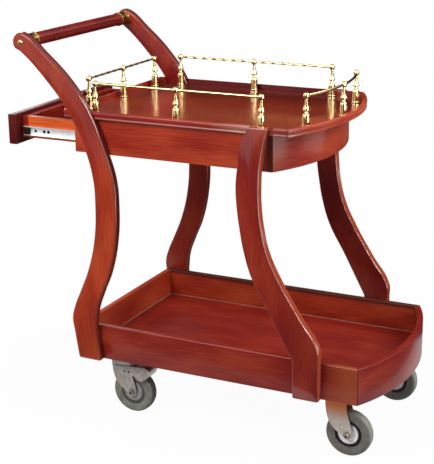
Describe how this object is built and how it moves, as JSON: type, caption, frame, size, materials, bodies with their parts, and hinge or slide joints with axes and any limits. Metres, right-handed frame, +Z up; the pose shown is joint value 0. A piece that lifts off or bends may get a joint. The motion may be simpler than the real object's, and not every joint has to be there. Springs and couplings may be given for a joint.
{
  "type": "serving trolley",
  "caption": "Bow-fronted two-tier wooden serving trolley with a brass gallery, a round push handle, a side-mounted drawer and swivel casters with pedal brakes at one end.",
  "frame": {"origin": "on the floor, below the middle of the whole trolley's bounding box with the drawer at rest, 150 mm open", "axes": "+X towards the bowed front, away from the handlebar and the drawer; +Y towards the far side; +Z up"},
  "size_m": [0.864, 0.456, 0.8521],
  "materials": {
    "cherry_lacquer": "glossy red-brown cherry lacquer over fine straight grain",
    "cherry_drawer": "satin orange-brown lacquer on the drawer's boards",
    "brass": "polished and lacquered",
    "zinc_steel": "zinc-plated pressed sheet",
    "slide_steel": "bright zinc-plated roll-formed strip",
    "hub_nylon": "moulded light grey nylon",
    "grey_rubber": "matte grey rubber tread"
  },
  "bodies": {
    "frame": {"leg_back_near": "cherry_lacquer", "leg_back_far": "cherry_lacquer", "leg_front_near": "cherry_lacquer", "leg_front_far": "cherry_lacquer", "handlebar": "cherry_lacquer", "apron_bow": "cherry_lacquer", "apron_side_near": "cherry_lacquer", "apron_side_far": "cherry_lacquer", "tray_panel": "cherry_lacquer", "rim_near": "cherry_lacquer", "rim_far": "cherry_lacquer", "rim_end": "cherry_lacquer", "rim_bow": "cherry_lacquer", "lower_bow": "cherry_lacquer", "lower_side_near": "cherry_lacquer", "lower_side_far": "cherry_lacquer", "lower_end": "cherry_lacquer", "lower_panel": "cherry_lacquer", "gallery_near": "brass", "gallery_far": "brass", "gallery_end": "brass", "gallery_bow": "brass", "handle_ferrule_near": "brass", "handle_ferrule_far": "brass", "handle_bolt_near": "brass", "handle_bolt_far": "brass", "caster_back_near_plate": "zinc_steel", "caster_back_far_plate": "zinc_steel", "caster_front_near_plate": "zinc_steel", "caster_front_far_plate": "zinc_steel", "slide_cabinet_near": "slide_steel", "slide_cabinet_far": "slide_steel"},
    "drawer": {"drawer_front": "cherry_lacquer", "drawer_inner_front": "cherry_drawer", "drawer_side_near": "cherry_drawer", "drawer_side_far": "cherry_drawer", "drawer_back": "cherry_drawer", "drawer_bottom": "cherry_drawer", "slide_drawer_near": "slide_steel", "slide_drawer_far": "slide_steel"},
    "swivel_back_near": {"caster_back_near_fork": "zinc_steel", "caster_back_near_axle": "zinc_steel"},
    "wheel_back_near": {"caster_back_near_hub": "hub_nylon", "caster_back_near_tyre": "grey_rubber"},
    "brake_near": {"caster_back_near_brake": "zinc_steel"},
    "swivel_back_far": {"caster_back_far_fork": "zinc_steel", "caster_back_far_axle": "zinc_steel"},
    "wheel_back_far": {"caster_back_far_hub": "hub_nylon", "caster_back_far_tyre": "grey_rubber"},
    "brake_far": {"caster_back_far_brake": "zinc_steel"},
    "swivel_front_near": {"caster_front_near_fork": "zinc_steel", "caster_front_near_axle": "zinc_steel"},
    "wheel_front_near": {"caster_front_near_hub": "hub_nylon", "caster_front_near_tyre": "grey_rubber"},
    "swivel_front_far": {"caster_front_far_fork": "zinc_steel", "caster_front_far_axle": "zinc_steel"},
    "wheel_front_far": {"caster_front_far_hub": "hub_nylon", "caster_front_far_tyre": "grey_rubber"}
  },
  "joints": [
    {"name": "drawer_slide", "type": "slide", "parent": "frame", "child": "drawer", "axis": [1, 0, 0], "range_m": [-0.08, 0.15]},
    {"name": "caster_back_near_swivel", "type": "hinge", "parent": "frame", "child": "swivel_back_near", "pos_m": [-0.192, -0.15, 0.1382], "axis": [0, 0, 1], "continuous": true},
    {"name": "wheel_back_near_spin", "type": "hinge", "parent": "swivel_back_near", "child": "wheel_back_near", "pos_m": [-0.166, -0.15, 0.05], "axis": [0, 1, 0], "continuous": true},
    {"name": "brake_near_press", "type": "hinge", "parent": "swivel_back_near", "child": "brake_near", "pos_m": [-0.1825, -0.15, 0.0984], "axis": [0, 1, 0], "range_deg": [0, 6]},
    {"name": "caster_back_far_swivel", "type": "hinge", "parent": "frame", "child": "swivel_back_far", "pos_m": [-0.192, 0.15, 0.1382], "axis": [0, 0, 1], "continuous": true},
    {"name": "wheel_back_far_spin", "type": "hinge", "parent": "swivel_back_far", "child": "wheel_back_far", "pos_m": [-0.166, 0.15, 0.05], "axis": [0, 1, 0], "continuous": true},
    {"name": "brake_far_press", "type": "hinge", "parent": "swivel_back_far", "child": "brake_far", "pos_m": [-0.1825, 0.15, 0.0984], "axis": [0, 1, 0], "range_deg": [0, 6]},
    {"name": "caster_front_near_swivel", "type": "hinge", "parent": "frame", "child": "swivel_front_near", "pos_m": [0.321, -0.15, 0.1382], "axis": [0, 0, 1], "continuous": true},
    {"name": "wheel_front_near_spin", "type": "hinge", "parent": "swivel_front_near", "child": "wheel_front_near", "pos_m": [0.347, -0.15, 0.05], "axis": [0, 1, 0], "continuous": true},
    {"name": "caster_front_far_swivel", "type": "hinge", "parent": "frame", "child": "swivel_front_far", "pos_m": [0.321, 0.15, 0.1382], "axis": [0, 0, 1], "continuous": true},
    {"name": "wheel_front_far_spin", "type": "hinge", "parent": "swivel_front_far", "child": "wheel_front_far", "pos_m": [0.347, 0.15, 0.05], "axis": [0, 1, 0], "continuous": true}
  ]
}
